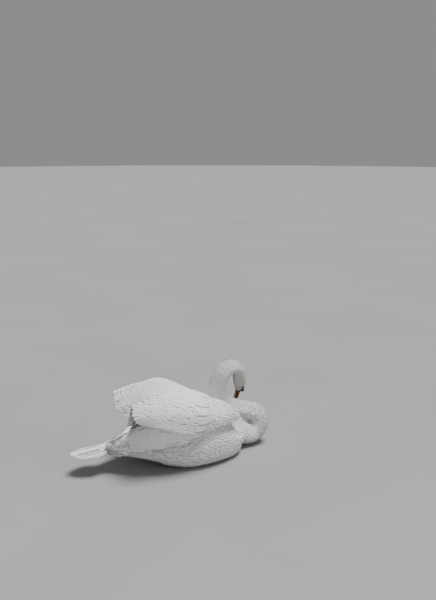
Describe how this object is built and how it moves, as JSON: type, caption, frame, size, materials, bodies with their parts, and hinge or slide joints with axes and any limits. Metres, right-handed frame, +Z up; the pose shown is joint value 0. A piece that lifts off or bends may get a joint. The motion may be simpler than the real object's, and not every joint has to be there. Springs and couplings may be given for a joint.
{
  "type": "mute swan",
  "caption": "Life-size still model of a mute swan resting on its belly, wings folded, neck drawn back and head hanging.",
  "frame": {"origin": "on the floor under the middle of the bird's box", "axes": "+X towards the breast, along the body and tail; +Y to the bird's left; +Z up"},
  "size_m": [0.8728, 0.3658, 0.3723],
  "materials": {
    "plumage": "white feathers, soft and matt",
    "bill_orange": "orange horn, satin",
    "bill_black": "black horn and bare skin, satin",
    "eye": "dark brown, wet gloss",
    "leg": "black scaly skin, matt"
  },
  "bodies": {
    "root": {"trunk": "plumage", "neck_lower": "plumage", "neck_middle": "plumage", "neck_upper": "plumage", "head": "plumage", "tail": "plumage", "wing_right_scapulars": "plumage", "wing_right_blade": "plumage", "wing_left_scapulars": "plumage", "wing_left_blade": "plumage", "bill_upper": "bill_orange", "bill_lower": "bill_black", "bill_knob": "bill_black", "eye_left": "eye", "eye_right": "eye", "leg_left": "leg", "leg_right": "leg", "foot_left": "leg", "foot_right": "leg"}
  },
  "joints": []
}
